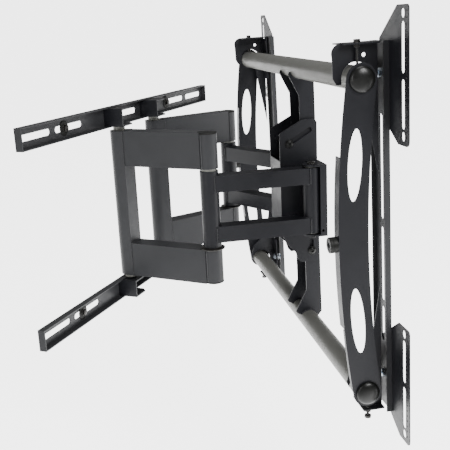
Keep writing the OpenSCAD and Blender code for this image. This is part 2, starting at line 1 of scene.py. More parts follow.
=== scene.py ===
"""Finished look of a full motion television wall mount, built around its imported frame.

The frame gives every load-bearing part. This script gives each of them a finish and
replaces the small hardware with detailed pieces: end domes, bolts, caps, threads and welds.
All lengths are in metres, in the frame's own axes: X along the wall, Y into it, Z up.
"""

import json
import math

import bmesh
import bpy
from mathutils import Matrix, Vector


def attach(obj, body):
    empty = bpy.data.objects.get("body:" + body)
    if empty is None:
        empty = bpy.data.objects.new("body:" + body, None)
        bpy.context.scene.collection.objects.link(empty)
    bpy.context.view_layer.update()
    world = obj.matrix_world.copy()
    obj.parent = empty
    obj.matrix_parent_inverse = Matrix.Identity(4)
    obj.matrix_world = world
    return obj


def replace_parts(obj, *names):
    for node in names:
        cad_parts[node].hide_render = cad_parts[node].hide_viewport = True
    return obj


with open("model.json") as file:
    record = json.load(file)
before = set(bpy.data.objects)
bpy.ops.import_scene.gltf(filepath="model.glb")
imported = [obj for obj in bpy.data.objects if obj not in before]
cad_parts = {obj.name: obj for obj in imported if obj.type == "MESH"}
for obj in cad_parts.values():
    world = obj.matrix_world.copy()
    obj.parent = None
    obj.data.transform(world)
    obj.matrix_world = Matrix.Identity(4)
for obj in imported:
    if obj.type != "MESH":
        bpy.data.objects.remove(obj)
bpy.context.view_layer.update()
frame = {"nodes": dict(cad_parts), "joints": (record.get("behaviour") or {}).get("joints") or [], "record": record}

bl_info = {
    "name": "Television wall mount",
    "version": (1, 0, 0),
    "blender": (4, 5, 0),
    "location": "View3D > Sidebar > Wall Mount",
    "description": "Finishes and hardware of a full motion television wall mount",
    "category": "Object",
}

JOINTS = {j["name"]: j for j in frame["joints"]}


# ---------- places on the frame ----------
def joint_point(name):
    """Where a joint's axis stands, in the row frame."""
    return Vector(JOINTS[name]["pos_m"])


def plan_matrix(start, end):
    """An upright frame at start whose -Y runs toward end, as the arms are drawn."""
    run = end - start
    return Matrix.Translation(start) @ Matrix.Rotation(math.atan2(run.x, -run.y), 4, "Z")


ALONG = Vector(JOINTS["tilt"]["axis"]).normalized()
HEAD_MID = joint_point("head_swivel") + ALONG * 0.110
HEAD = Matrix.Translation(HEAD_MID) @ Matrix.Rotation(math.atan2(ALONG.y, ALONG.x), 4, "Z")
FAR_HEAD = joint_point("head_swivel") + ALONG * 0.220
TILT_PIVOT = (0, -0.012, -0.169)
TILT_LOCK = (0, 0.050, 0.157)
HINGE = Matrix.Translation(TILT_PIVOT)
SCREEN = HEAD @ HINGE @ Matrix.Rotation(math.radians(-1.1), 4, "X") @ HINGE.inverted()
LEFT_INNER = plan_matrix(joint_point("left_shoulder"), joint_point("left_elbow"))
RIGHT_INNER = plan_matrix(joint_point("right_shoulder"), joint_point("right_elbow"))
LEFT_OUTER = plan_matrix(joint_point("left_elbow"), joint_point("head_swivel"))
RIGHT_OUTER = plan_matrix(joint_point("right_elbow"), FAR_HEAD)
INNER_LEN = (joint_point("left_elbow") - joint_point("left_shoulder")).length
OUTER_LEN = (joint_point("head_swivel") - joint_point("left_elbow")).length
LEFT_RAIL = SCREEN @ Matrix.Translation((-0.4875, 0, 0))
RIGHT_RAIL = SCREEN @ Matrix.Translation((0.5575, 0, 0)) @ Matrix.Diagonal((-1, 1, 1, 1))
KNOB_Y = 0.064
TUBE_Y = 0.002
POST_FRONT = -0.0272
TUBE_ENDS = {"left": -0.551, "right": 0.621}
TUBE_HEIGHTS = {"upper": 0.369, "lower": -0.391}
BOLT_HEIGHTS = (0.375, -0.378)


def facing(direction, at=(0, 0, 0)):
    """A matrix that turns +Z toward direction and stands at a point."""
    turn = Vector(direction).to_track_quat("Z", "Y").to_matrix().to_4x4()
    return Matrix.Translation(at) @ turn


# ---------- settings ----------
class MountFinishSettings(bpy.types.PropertyGroup):
    """Colours and textures of the mount's finishes."""

    charcoal: bpy.props.FloatVectorProperty(
        name="Charcoal coat", description="Powder coat of rails and inner arms",
        subtype="COLOR", size=3, min=0, max=1, default=(0.027, 0.0277, 0.030))
    dark: bpy.props.FloatVectorProperty(
        name="Dark coat", description="Powder coat of outer arms, head, mast and frame plates",
        subtype="COLOR", size=3, min=0, max=1, default=(0.0085, 0.0088, 0.0112))
    tube: bpy.props.FloatVectorProperty(
        name="Tube coat", description="Powder coat of the cross tubes",
        subtype="COLOR", size=3, min=0, max=1, default=(0.105, 0.105, 0.096))
    black: bpy.props.FloatVectorProperty(
        name="Black parts", description="Moulded caps and blackened bolts",
        subtype="COLOR", size=3, min=0, max=1, default=(0.0045, 0.0047, 0.0042))
    zinc: bpy.props.FloatVectorProperty(
        name="Zinc plate", description="Bright plated bolts and studs",
        subtype="COLOR", size=3, min=0, max=1, default=(0.62, 0.70, 0.80))
    nylon: bpy.props.FloatVectorProperty(
        name="Nylon", description="Bushes and washers",
        subtype="COLOR", size=3, min=0, max=1, default=(0.26, 0.26, 0.235))
    edge_radius: bpy.props.FloatProperty(
        name="Edge softness", description="How far light rolls round the folded and cut edges",
        unit="LENGTH", min=0, max=0.004, default=0.0011)
    grain: bpy.props.FloatProperty(
        name="Coat grain", description="Size of the powder coat's orange peel",
        unit="LENGTH", min=0.0004, max=0.01, default=0.0016)


class MountHardwareSettings(bpy.types.PropertyGroup):
    """Sizes of the detailed hardware."""

    dome_radius: bpy.props.FloatProperty(
        name="Dome radius", description="Radius of the caps on the cross tubes",
        unit="LENGTH", min=0.028, max=0.031, default=0.0295)
    dome_height: bpy.props.FloatProperty(
        name="Dome height", description="How far the caps stand out of the tubes",
        unit="LENGTH", min=0.006, max=0.016, default=0.015)
    thread_pitch: bpy.props.FloatProperty(
        name="Thread pitch", description="Distance between the ridges of visible threads",
        unit="LENGTH", min=0.0008, max=0.002, default=0.00125)
    weld_size: bpy.props.FloatProperty(
        name="Weld size", description="Radius of the weld beads",
        unit="LENGTH", min=0.0008, max=0.004, default=0.0021)


class MountStageSettings(bpy.types.PropertyGroup):
    """The floor and the light."""

    floor_height: bpy.props.FloatProperty(
        name="Floor height", description="Height of the floor under the mount",
        unit="LENGTH", min=-3, max=-0.6, default=-0.95)
    floor_colour: bpy.props.FloatVectorProperty(
        name="Floor colour", description="Pale floor",
        subtype="COLOR", size=3, min=0, max=1, default=(0.92, 0.92, 0.92))
    brightness: bpy.props.FloatProperty(
        name="Brightness", description="Strength of all the lamps together",
        min=0, max=10, default=1.0)
    glow: bpy.props.FloatProperty(
        name="Floor glow", description="Light of the lit floor behind the mount",
        min=0, max=20, default=3.8)


# ---------- shader writing ----------
class Value:
    """A socket that can be written into sums like a number."""

    def __init__(self, graph, socket):
        self.graph = graph
        self.socket = socket

    def _do(self, operation, first, second):
        return self.graph.node("ShaderNodeMath", {"operation": operation}, {0: first, 1: second})

    def __add__(self, other):
        return self._do("ADD", self, other)

    __radd__ = __add__

    def __mul__(self, other):
        return self._do("MULTIPLY", self, other)

    __rmul__ = __mul__

    def __sub__(self, other):
        return self._do("SUBTRACT", self, other)

    def __rsub__(self, other):
        return self._do("SUBTRACT", other, self)


class Graph:
    """One material's nodes around its Principled shader."""

    def __init__(self, name):
        self.material = bpy.data.materials.new(name)
        self.material.use_nodes = True
        self.tree = self.material.node_tree
        self.shader = self.tree.nodes["Principled BSDF"]

    def put(self, socket, value):
        if isinstance(value, Value):
            self.tree.links.new(value.socket, socket)
        elif socket.type == "RGBA" and len(value) == 3:
            socket.default_value = (*value, 1)
        else:
            socket.default_value = value

    def node(self, kind, settings=None, inputs=None, output=0):
        made = self.tree.nodes.new(kind)
        for key, value in (settings or {}).items():
            setattr(made, key, value)
        for key, value in (inputs or {}).items():
            self.put(made.inputs[key], value)
        return Value(self, made.outputs[output])

    def set(self, **inputs):
        for key, value in inputs.items():
            self.put(self.shader.inputs[key.replace("_", " ")], value)

    def place(self):
        return self.node("ShaderNodeTexCoord", output="Object")

    def noise(self, size, detail=2.0, roughness=0.5, place=None):
        """Cloudy variation from 0 to 1 with features of about this size."""
        return self.node("ShaderNodeTexNoise", inputs={
            "Vector": place or self.place(), "Scale": 1 / size, "Detail": detail,
            "Roughness": roughness})

    def blend(self, first, second, factor):
        """A colour between two others."""
        made = self.tree.nodes.new("ShaderNodeMix")
        made.data_type = "RGBA"
        self.put(made.inputs[0], factor)
        self.put(made.inputs[6], first)
        self.put(made.inputs[7], second)
        return Value(self, made.outputs[2])

    def span(self, value, low, high, to_low=0.0, to_high=1.0):
        """A value moved from one range to another, and kept inside it."""
        return self.node("ShaderNodeMapRange", {"clamp": True}, {
            "Value": value, "From Min": low, "From Max": high,
            "To Min": to_low, "To Max": to_high})

    def soft_edges(self, radius):
        return self.node("ShaderNodeBevel", {"samples": 4}, {"Radius": radius})

    def edge_mask(self, soft, low=0.004, high=0.10):
        """White on edges, where the softened normal leaves the face's own."""
        flat = self.node("ShaderNodeNewGeometry", output="Normal")
        dot = self.node("ShaderNodeVectorMath", {"operation": "DOT_PRODUCT"},
                        {0: soft, 1: flat}, output="Value")
        return self.span(1 - dot, low, high)

    def relief(self, height, distance, soft):
        self.set(Normal=self.node("ShaderNodeBump", inputs={
            "Height": height, "Strength": 1.0, "Distance": distance, "Normal": soft}))


def lighter(colour, factor):
    return tuple(min(1.0, c * factor) for c in colour)


def powder_coat(name, colour, grain, edge, rough=0.42, wear_and_highlight=1.9):
    """Baked powder coat: fine orange peel, cloudy gloss, and edges painted lighter, partly as patchy rubbed wear
    and partly as a painted edge highlight.
    """
    g = Graph(name)
    soft = g.soft_edges(edge)
    peel = g.noise(grain, 1.5)
    fine = g.noise(grain * 0.35, 1.0)
    cloud = g.noise(0.07, 3.0, 0.6)
    handling = g.noise(0.018, 4.0, 0.65)
    # Edge mask: patchy handling wear together with a painted highlight where the folded and cut edges would catch
    # the light
    wear_and_edge_highlight = g.edge_mask(soft) * g.span(handling, 0.38, 0.66)
    base = g.blend(lighter(colour, 0.86), lighter(colour, 1.16), cloud)
    speck = g.span(fine, 0.60, 0.74)
    base = g.blend(base, lighter(colour, 1.45), speck * 0.35)
    # Edges lifted lighter: real wear plus a painted edge highlight
    base = g.blend(base, lighter(colour, wear_and_highlight), wear_and_edge_highlight * 0.55)
    g.set(Base_Color=base,
          Roughness=g.span(cloud, 0.3, 0.7, rough - 0.05, rough + 0.07) + (peel - 0.5) * 0.10)
    g.shader.inputs["Specular IOR Level"].default_value = 0.25
    g.relief(peel * 0.7 + fine * 0.3, 0.00022, soft)
    return g.material


def moulded_black(name, colour):
    """Glossy moulded plastic with a faint dust bloom."""
    g = Graph(name)
    soft = g.soft_edges(0.0008)
    dust = g.span(g.noise(0.012, 4.0, 0.6), 0.45, 0.72)
    g.set(Base_Color=g.blend(colour, lighter(colour, 2.0), dust * 0.4),
          Roughness=0.30 + dust * 0.06)
    g.shader.inputs["Specular IOR Level"].default_value = 0.3
    g.relief(g.noise(0.006, 2.0), 0.00002, soft)
    return g.material


def satin_black(name, colour):
    """Moulded cap with a fine spark-eroded grain."""
    g = Graph(name)
    soft = g.soft_edges(0.0008)
    grain = g.noise(0.0009, 2.0)
    g.set(Base_Color=g.blend(colour, lighter(colour, 1.8), grain), Roughness=0.42 + grain * 0.12)
    g.shader.inputs["Specular IOR Level"].default_value = 0.2
    g.relief(grain, 0.00012, soft)
    return g.material


def black_oxide(name, colour):
    """Blackened steel of the bolts: dark, slightly brown, brighter on its edges."""
    g = Graph(name)
    soft = g.soft_edges(0.0006)
    stain = g.noise(0.006, 4.0, 0.65)
    edge = g.edge_mask(soft, 0.01, 0.14)
    base = g.blend(lighter(colour, 1.4), (0.030, 0.027, 0.024), stain)
    g.set(Base_Color=g.blend(base, (0.16, 0.16, 0.16), edge * 0.55), Metallic=0.55,
          Roughness=0.26 + stain * 0.22)
    g.relief(stain, 0.00006, soft)
    return g.material


def zinc_plate(name, colour):
    """Bright plate with the bluish cast and fine spangle of passivated zinc."""
    g = Graph(name)
    soft = g.soft_edges(0.0005)
    tint = g.noise(0.011, 3.0, 0.6)
    base = g.blend(colour, (0.66, 0.66, 0.60), g.span(tint, 0.45, 0.75))
    g.set(Base_Color=base, Metallic=1.0, Roughness=0.20 + g.noise(0.003, 3.0) * 0.22)
    g.relief(g.noise(0.0012, 2.0), 0.00004, soft)
    return g.material


def natural_nylon(name, colour):
    """Milky turned nylon with faint darker blotches of grime and a fine grain."""
    g = Graph(name)
    soft = g.soft_edges(0.0005)
    grime = g.span(g.noise(0.010, 3.0, 0.6), 0.5, 0.75)
    g.set(Base_Color=g.blend(colour, lighter(colour, 0.66), grime * 0.6),
          Roughness=0.38 + grime * 0.15)
    g.shader.inputs["Subsurface Weight"].default_value = 0.08
    g.shader.inputs["Subsurface Radius"].default_value = (0.002, 0.002, 0.002)
    g.relief(g.noise(0.0012, 2.0), 0.00006, soft)
    return g.material


def weld_metal(name, colour):
    """Coated weld bead: the coat lies smoother and a little glossier over the ripples."""
    g = Graph(name)
    soft = g.soft_edges(0.0004)
    ripple = g.noise(0.003, 2.0)
    g.set(Base_Color=g.blend(lighter(colour, 0.8), lighter(colour, 1.3), ripple),
          Roughness=0.34 + ripple * 0.12)
    g.relief(ripple, 0.0003, soft)
    return g.material


# ---------- mesh writing ----------
def polar(radius, angle, height):
    """A point at a radius and an angle about Z, at a height."""
    return Vector((radius * math.cos(angle), radius * math.sin(angle), height))


def add_piece(name, mesh, material, body, sharp=32):
    """Links a mesh as a piece, shades it smooth between sharp edges and makes it ride."""
    for face in mesh.polygons:
        face.use_smooth = True
    mesh.set_sharp_from_angle(angle=math.radians(sharp))
    mesh.materials.append(material)
    made = bpy.data.objects.new(name, mesh)
    bpy.context.scene.collection.objects.link(made)
    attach(made, body)
    return made


class Builder:
    """Collects turned and swept shapes into one mesh."""

    def __init__(self, name):
        self.name = name
        self.bm = bmesh.new()

    def rings(self, rings):
        """Skins rings of equal count and closes both ends; a ring is a list of points."""
        made = [[self.bm.verts.new(p) for p in ring] for ring in rings]
        count = len(made[0])
        for low, high in zip(made, made[1:]):
            for i in range(count):
                j = (i + 1) % count
                self.bm.faces.new((low[i], low[j], high[j], high[i]))
        self.bm.faces.new(list(reversed(made[0])))
        self.bm.faces.new(made[-1])

    def turned(self, profile, place, segments=48):
        """A shape turned about local Z from (radius, height) pairs, closed at the axis."""
        rings = []
        for radius, height in profile:
            r = max(radius, 0.00002)
            rings.append([place @ polar(r, 2 * math.pi * i / segments, height)
                          for i in range(segments)])
        self.rings(rings)

    def hollow(self, profile, place, segments=48):
        """A turned ring: the profile is a closed loop of (radius, height) pairs."""
        rings = [[place @ polar(r, 2 * math.pi * i / segments, h) for i in range(segments)]
                 for r, h in profile]
        made = [[self.bm.verts.new(p) for p in ring] for ring in rings]
        for k in range(len(made)):
            low, high = made[k], made[(k + 1) % len(made)]
            for i in range(segments):
                j = (i + 1) % segments
                self.bm.faces.new((low[i], low[j], high[j], high[i]))

    def hexagon(self, flat, z0, z1, place, socket=0.0, turn=0.0, segments=48):
        """A hexagonal head or nut with both ends chamfered as if turned, and perhaps a socket."""
        def edge(a):
            a = (a - turn + math.pi / 6) % (math.pi / 3) - math.pi / 6
            return flat / math.cos(a)
        angles = [2 * math.pi * i / segments for i in range(segments)]

        def ring(radius_of, height_of):
            return [place @ Vector((radius_of(a) * math.cos(a), radius_of(a) * math.sin(a),
                                    height_of(a))) for a in angles]
        slope = 0.55
        lip = flat * 0.97

        def low(a):
            return z0 + (edge(a) - lip) * slope * 0.5

        def high(a):
            return z1 - (edge(a) - lip) * slope
        rings = [ring(lambda a: lip, lambda a: z0), ring(edge, low), ring(edge, high),
                 ring(lambda a: lip, lambda a: z1)]
        if socket:
            def inner(a):
                a = (a + math.pi / 6) % (math.pi / 3) - math.pi / 6
                return socket / math.cos(a)
            depth = (z1 - z0) * 0.6
            rings += [ring(lambda a: inner(a) * 1.12, lambda a: z1),
                      ring(inner, lambda a: z1 - 0.0005), ring(inner, lambda a: z1 - depth)]
        self.rings(rings)

    def threaded(self, radius, z0, z1, pitch, place, segments=24):
        """A screw thread as a true helix, closed into its shank at both ends."""
        turns = (z1 - z0) / pitch
        steps = max(8, int(turns * segments))
        depth = pitch * 0.55
        rows = [(0.0, radius - depth), (0.35, radius), (0.5, radius), (0.85, radius - depth)]
        ridge = []
        for i in range(steps + 1):
            a = 2 * math.pi * i / segments
            z = z0 + (z1 - z0 - pitch) * i / steps
            fade = min(1.0, i / segments * 2, (steps - i) / segments * 2)
            ridge.append([place @ Vector((
                (radius - depth * 1.15 + (r - radius + depth) * fade) * math.cos(a),
                (radius - depth * 1.15 + (r - radius + depth) * fade) * math.sin(a),
                z + k * pitch)) for k, r in rows])
        self.rings(ridge)
        core = radius - depth
        self.turned([(0, z0), (core - 0.0004, z0), (core, z0 + 0.0004), (core, z1 - 0.0004),
                     (core - 0.0004, z1), (0, z1)], place, segments)

    def bead(self, points, radius, closed=False, sides=8, ripple=0.22):
        """A rippled weld bead swept along a line of points."""
        line = [Vector(p) for p in points]
        total = sum((b - a).length for a, b in zip(line, line[1:]))
        step = radius * 0.55
        count = max(6, int(total / step))
        walked, spots, target = 0.0, [], 0.0
        for a, b in zip(line, line[1:]):
            length = (b - a).length
            while target <= walked + length + 1e-9 and length > 0:
                spots.append((a.lerp(b, (target - walked) / length), (b - a).normalized()))
                target += total / count
            walked += length
        rings = []
        for n, (spot, way) in enumerate(spots):
            end = 1.0
            if not closed:
                end = min(1.0, 0.35 + 0.3 * min(n, len(spots) - 1 - n))
            swell = radius * end * (1 + ripple * math.sin(n * 1.9) + 0.07 * math.sin(n * 0.73))
            side = way.orthogonal().normalized()
            other = way.cross(side)
            rings.append([spot + side * swell * math.cos(2 * math.pi * k / sides)
                          + other * swell * math.sin(2 * math.pi * k / sides)
                          for k in range(sides)])
        # Keep the rings from twisting where the line turns
        for before, ring in zip(rings, rings[1:]):
            best = min(range(sides), key=lambda s: sum(
                (before[k] - ring[(k + s) % sides]).length for k in range(0, sides, 2)))
            ring[:] = ring[best:] + ring[:best]
        self.rings(rings)

    def finish(self, material, body, slot, sharp=32):
        bmesh.ops.recalc_face_normals(self.bm, faces=self.bm.faces)
        mesh = bpy.data.meshes.new(self.name)
        self.bm.to_mesh(mesh)
        self.bm.free()
        return add_piece(self.name, mesh, material, body, sharp)


def rounded_dome(radius, height, base=0.003, steps=14):
    """Profile of a low dome on a short straight rim."""
    rim = [(radius, base * 0.3), (radius, base)]
    crown = [(radius * math.cos(t * math.pi / 2 / steps),
              base + (height - base) * math.sin(t * math.pi / 2 / steps))
             for t in range(1, steps + 1)]
    return rim + crown


def material(name):
    found = bpy.data.materials.get(name)
    if found is None:
        raise RuntimeError("the finishes are made first: " + name + " is missing")
    return found


# ---------- operators ----------
FINISH_OF_SLOT = {
    "charcoal_coat": "charcoal coat", "dark_coat": "dark coat", "grey_coat": "tube coat",
    "black_gloss": "satin black", "black_hardware": "black oxide", "zinc": "zinc plate",
    "nylon": "natural nylon",
}


class WALLMOUNT_OT_finishes(bpy.types.Operator):
    """Make the finishes and give one to every part of the frame"""

    bl_idname = "wallmount.finishes"
    bl_label = "Finishes"

    def execute(self, context):
        s = context.scene.mount_finishes
        powder_coat("charcoal coat", s.charcoal, s.grain, s.edge_radius)
        powder_coat("dark coat", s.dark, s.grain, s.edge_radius, rough=0.40, wear_and_highlight=2.4)
        powder_coat("tube coat", s.tube, s.grain, s.edge_radius, rough=0.40, wear_and_highlight=1.4)
        moulded_black("gloss black", s.black)
        satin_black("satin black", s.black)
        black_oxide("black oxide", s.black)
        zinc_plate("zinc plate", s.zinc)
        natural_nylon("natural nylon", s.nylon)
        weld_metal("charcoal weld", s.charcoal)
        weld_metal("dark weld", s.dark)
        slots = {p["node"]: p["material_slot"] for p in frame["record"]["subparts"]}
        for name, part in frame["nodes"].items():
            finish = material(FINISH_OF_SLOT[slots[name]])
            part.data.materials.clear()
            part.data.materials.append(finish)
        return {"FINISHED"}


class WALLMOUNT_OT_end_domes(bpy.types.Operator):
    """Glossy domes that close the cross tubes"""

    bl_idname = "wallmount.end_domes"
    bl_label = "End domes"

    def execute(self, context):
        s = context.scene.mount_hardware
        made = []
        for side, x in TUBE_ENDS.items():
            out = -1 if side == "left" else 1
            for level, z in TUBE_HEIGHTS.items():
                place = SCREEN @ facing((out, 0, 0), (x, TUBE_Y, z))
                b = Builder(f"{side}_{level}_dome")
                b.turned([(0, -0.014), (0.0246, -0.014), (0.0246, -0.0004),
                          (s.dome_radius - 0.0006, -0.0004),
                          *rounded_dome(s.dome_radius, s.dome_height)], place, 64)
                made.append(b.finish(material("gloss black"), "screen_frame", "black_gloss"))
        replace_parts(made[0], "tube_end_caps")
        return {"FINISHED"}


class WALLMOUNT_OT_side_knobs(bpy.types.Operator):
    """Black collars round the socket bosses behind the frame plates"""

    bl_idname = "wallmount.side_knobs"
    bl_label = "Side knobs"

    def execute(self, context):
        for side, x in (("left", TUBE_ENDS["left"] + 0.018), ("right", TUBE_ENDS["right"] - 0.018)):
            b = Builder(f"{side}_side_knob")
            place = SCREEN @ facing((0, 1, 0), (x, KNOB_Y, -0.008))
            b.hollow([(0.0187, 0.0020), (0.0191, 0.0024), (0.0191, 0.0120), (0.0187, 0.0124),
                      (0.0187, 0.0130), (0.0191, 0.0134), (0.0191, 0.0192), (0.0184, 0.0203),
                      (0.0120, 0.0206), (0.0100, 0.0203), (0.0096, 0.0190), (0.0096, 0.0020)],
                     place, 64)
            b.finish(material("satin black"), "screen_frame", "black_gloss")
        return {"FINISHED"}


class WALLMOUNT_OT_lag_screws(bpy.types.Operator):
    """Lag screws with flanged hex heads on domed washers"""

    bl_idname = "wallmount.lag_screws"
    bl_label = "Lag screws"

    def execute(self, context):
        screws = Builder("lag_screw_heads")
        washers = Builder("lag_screw_washers")
        for n, x in enumerate((-0.353, 0.257)):
            for k, z in enumerate((0.257, -0.257)):
                place = facing((0, -1, 0), (x, 0, z))
                washers.hollow([(0.0052, 0.0031), (0.0192, 0.0031), (0.0200, 0.0036),
                                (0.0198, 0.0046), (0.0150, 0.0056), (0.0052, 0.0058)], place)
                screws.turned([(0, 0.0002), (0.0048, 0.0002), (0.0048, 0.0055), (0.0108, 0.0056),
                               (0.0112, 0.0061), (0.0106, 0.0074), (0, 0.0078)], place)
                screws.hexagon(0.0078, 0.0070, 0.0134, place, turn=0.4 * (n + 2 * k))
        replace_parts(screws.finish(material("black oxide"), "wall_plate", "black_hardware"),
                    "lag_screws")
        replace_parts(washers.finish(material("satin black"), "wall_plate", "black_hardware"),
                    "lag_washers")
        return {"FINISHED"}


class WALLMOUNT_OT_elbow_caps(bpy.types.Operator):
    """Moulded caps that close the elbow knuckles"""

    bl_idname = "wallmount.elbow_caps"
    bl_label = "Elbow caps"

    def execute(self, context):
        for side, matrix in (("left", LEFT_INNER), ("right", RIGHT_INNER)):
            b = Builder(f"{side}_elbow_lids")
            for way in (1, -1):
                place = matrix @ facing((0, 0, way), (0, -INNER_LEN, way * 0.212))
                b.turned([(0, -0.008), (0.0204, -0.008), (0.0204, 0.0001), (0.0274, 0.0001),
                          (0.0278, 0.0006), (0.0278, 0.0022), (0.0271, 0.0034), (0.0252, 0.0044),
                          (0.0218, 0.0049), (0.0207, 0.0044), (0.0185, 0.0045), (0.0120, 0.0062),
                          (0.0050, 0.0070), (0, 0.0071)], place, 64)
            lid = b.finish(material("satin black"), f"{side}_inner_arm", "black_gloss")
            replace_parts(lid, f"{side}_elbow_caps")
        return {"FINISHED"}


class WALLMOUNT_OT_shoulder_bolts(bpy.types.Operator):
    """Pivot bolts of the shoulders, with washers under their heads"""

    bl_idname = "wallmount.shoulder_bolts"
    bl_label = "Shoulder bolts"

    def execute(self, context):
        b = Builder("shoulder_pivot_bolts")
        for side in ("left", "right"):
            at = joint_point(f"{side}_shoulder")
            for way in (1, -1):
                place = facing((0, 0, way), (at.x, at.y, 0))
                b.turned([(0, 0.193), (0.0080, 0.193), (0.0080, 0.2825), (0.0070, 0.2832),
                          (0, 0.2832)], place)
                b.hexagon(0.0112, 0.2670, 0.2770, place, turn=0.3)
                b.hollow([(0.0082, 0.2770), (0.0145, 0.2770), (0.0147, 0.2774), (0.0145, 0.2782),
                          (0.0082, 0.2782)], place)
                b.hollow([(0.0082, 0.2357), (0.0145, 0.2357), (0.0147, 0.2361), (0.0145, 0.2369),
                          (0.0082, 0.2369)], place)
                b.hexagon(0.0112, 0.2369, 0.2430, place, turn=0.9)
        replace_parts(b.finish(material("black oxide"), "wall_plate", "black_hardware"),
                    "shoulder_bolts")
        return {"FINISHED"}


class WALLMOUNT_OT_head_bolts(bpy.types.Operator):
    """Hex bolts of the head pivots with their pale washers"""

    bl_idname = "wallmount.head_bolts"
    bl_label = "Head bolts"

    def execute(self, context):
        bolts = Builder("head_pivot_bolts")
        washers = Builder("head_pivot_washers")
        for n, at in enumerate((joint_point("head_swivel"), FAR_HEAD)):
            for way in (1, -1):
                place = facing((0, 0, way), (at.x, at.y, 0))
                bolts.turned([(0, 0.0715), (0.0070, 0.0715), (0.0070, 0.1060), (0, 0.1060)], place)
                bolts.hollow([(0.0072, 0.1046), (0.0126, 0.1046), (0.0128, 0.1050),
                              (0.0126, 0.1060), (0.0072, 0.1060)], place)
                bolts.hexagon(0.0094, 0.1060, 0.1120, place, turn=0.5 + n)
                washers.hollow([(0.0072, 0.0959), (0.0176, 0.0959), (0.0180, 0.0963),
                                (0.0180, 0.0991), (0.0176, 0.0994), (0.0072, 0.0994)], place)
        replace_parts(bolts.finish(material("black oxide"), "swivel_head", "black_hardware"),
                    "head_bolts")
        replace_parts(washers.finish(material("natural nylon"), "swivel_head", "nylon"),
                    "head_washers")
        return {"FINISHED"}


def button_head(builder, place, radius, height, shank, z0, z1):
    """A button head with a hex socket on its shank and washer; z1 is under the head."""
    builder.turned([(0, z0), (shank, z0), (shank, z1 + 0.0005), (0, z1 + 0.0005)], place)
    builder.hollow([(shank + 0.0001, z1), (radius, z1), (radius + 0.0002, z1 + 0.0004),
                    (radius, z1 + 0.0012), (shank + 0.0001, z1 + 0.0012)], place)
    crown = radius * 0.86
    base = z1 + 0.0012
    top = z1 + height
    steps = [t * math.pi / 16 for t in range(9)]
    profile = [(crown, base)] + [
        (crown * 0.42 + crown * 0.58 * math.cos(t),
         base + 0.0008 + (top - base - 0.0008) * math.sin(t)) for t in steps]
    segments = 48
    angles = [2 * math.pi * i / segments for i in range(segments)]
    rings = [[place @ polar(r, a, h) for a in angles] for r, h in profile]

    def socket(a, scale):
        a = (a + math.pi / 6) % (math.pi / 3) - math.pi / 6
        return scale / math.cos(a)
    depth = top - height * 0.55
    for scale, h in ((crown * 0.36, top), (crown * 0.33, top - 0.0005), (crown * 0.33, depth)):
        rings.append([place @ polar(socket(a, scale), a, h) for a in angles])
    builder.rings(rings)


class WALLMOUNT_OT_tilt_bolts(bpy.types.Operator):
    """Button head bolts of the tilt: two low pivots and two locks in the slanted slots"""

    bl_idname = "wallmount.tilt_bolts"
    bl_label = "Tilt bolts"

    def execute(self, context):
        pivots = Builder("tilt_pivot_buttons")
        locks = Builder("tilt_lock_buttons")
        for way in (1, -1):
            pivot = HEAD @ facing((way, 0, 0), TILT_PIVOT)
            lock = HEAD @ facing((way, 0, 0), TILT_LOCK)
            button_head(pivots, pivot, 0.0130, 0.0074, 0.006, 0.042, 0.0603)
            button_head(locks, lock, 0.0122, 0.0070, 0.006, 0.042, 0.0603)
        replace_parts(pivots.finish(material("gloss black"), "tilt_pivot", "black_hardware"),
                    "tilt_pivot_bolts")
        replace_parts(locks.finish(material("gloss black"), "screen_frame", "black_hardware"),
                    "tilt_lock_bolts")
        return {"FINISHED"}


class WALLMOUNT_OT_rail_bolts(bpy.types.Operator):
    """Plated bolts that hold the hooks to the screen rails, with a nut on each plate"""

    bl_idname = "wallmount.rail_bolts"
    bl_label = "Rail bolts"

    def execute(self, context):
        pitch = context.scene.mount_hardware.thread_pitch
        for side, rail in (("left", LEFT_RAIL), ("right", RIGHT_RAIL)):
            b = Builder(f"{side}_rail_bolt_set")
            for n, z in enumerate(BOLT_HEIGHTS):
                place = rail @ facing((0, 1, 0), (0.004, -0.072, z))
                b.turned([(0, -0.0035), (0.0060, -0.0035), (0.0078, -0.0022), (0.0080, -0.0001),
                          (0.0036, -0.0001), (0.0036, 0.0080), (0, 0.0080)], place)
                for k, height in enumerate((0.0050, 0.0190, 0.0280)):
                    b.hexagon(0.0096, height, height + 0.0060, place, turn=0.35 * n + 0.8 * k)
                b.hollow([(0.0042, 0.0163), (0.0112, 0.0163), (0.0116, 0.0167), (0.0116, 0.0186),
                          (0.0112, 0.0190), (0.0042, 0.0190)], place)
                b.threaded(0.0040, 0.0075, 0.0365, pitch, place)
            bolts = b.finish(material("zinc plate"), f"{side}_rail", "zinc")
            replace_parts(bolts, f"{side}_rail_bolts")
        return {"FINISHED"}


class WALLMOUNT_OT_lock_screws(bpy.types.Operator):
    """Lock screws that reach up under the lower tube"""

    bl_idname = "wallmount.lock_screws"
    bl_label = "Lock screws"

    def execute(self, context):
        pitch = context.scene.mount_hardware.thread_pitch
        for side, rail in (("left", LEFT_RAIL), ("right", RIGHT_RAIL)):
            b = Builder(f"{side}_lock_screw_set")
            place = rail @ Matrix.Translation((-0.0395, -0.006, 0))
            b.hexagon(0.0078, -0.4720, -0.4652, place)
            b.hexagon(0.0068, -0.4555, -0.4492, place, turn=0.4)
            b.threaded(0.0031, -0.4665, -0.4235, pitch * 0.8, place)
            b.turned([(0, -0.425), (0.0026, -0.425), (0.0026, -0.4198), (0.0021, -0.4193),
                      (0, -0.4193)], place)
            screw = b.finish(material("black oxide"), f"{side}_rail", "black_hardware")
            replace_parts(screw, f"{side}_lock_screw")
        return {"FINISHED"}


